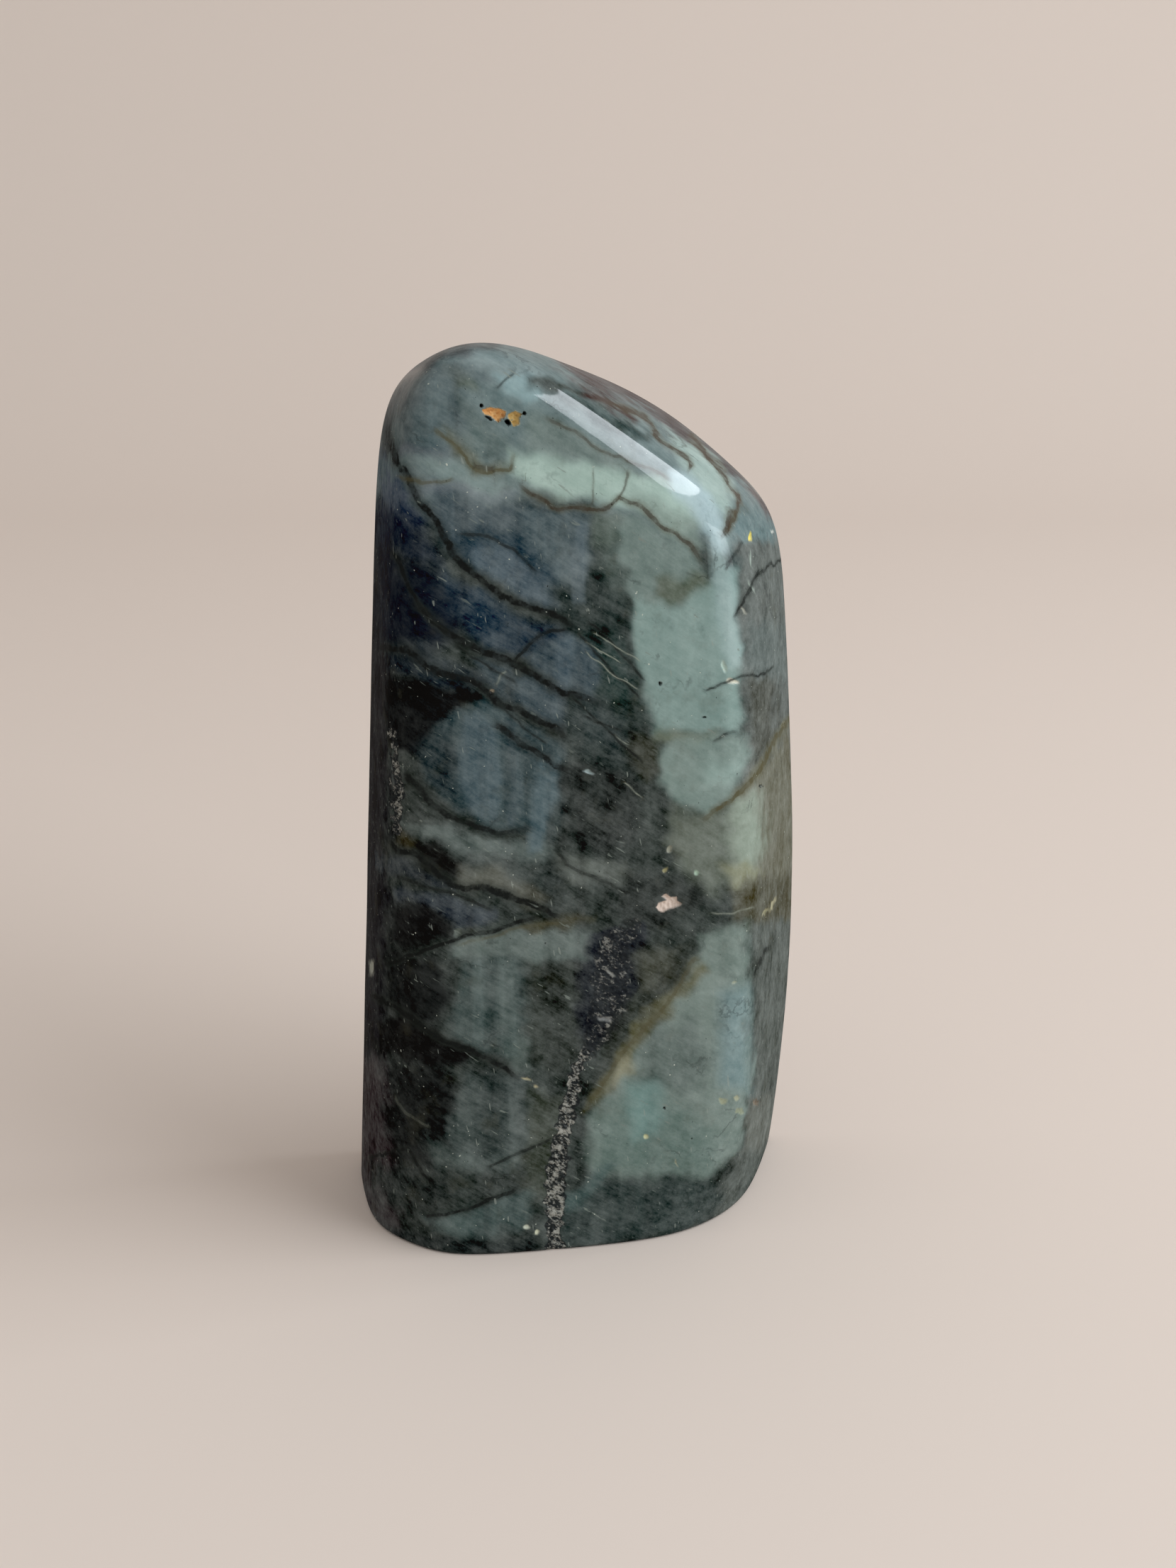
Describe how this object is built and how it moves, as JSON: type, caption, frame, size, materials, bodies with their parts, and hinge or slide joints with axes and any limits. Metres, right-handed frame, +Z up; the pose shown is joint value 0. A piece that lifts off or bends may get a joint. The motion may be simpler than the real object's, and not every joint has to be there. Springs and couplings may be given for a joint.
{
  "type": "polished labradorite freeform",
  "caption": "Free-standing polished labradorite stone with a slanted top, soft ground faces and a flat sawn base, shown as a decorative specimen.",
  "frame": {"origin": "middle of the stone's outline, on the plane of the sawn base", "axes": "+Z up from the sawn base, -Y towards the broad front face, +X to its right"},
  "size_m": [0.0573, 0.0413, 0.1098],
  "materials": {
    "labradorite": "polished stone: dark grey-green feldspar with teal and mint sheen, olive and brown seams"
  },
  "bodies": {
    "root": {"labradorite_stone": "labradorite"}
  },
  "joints": []
}
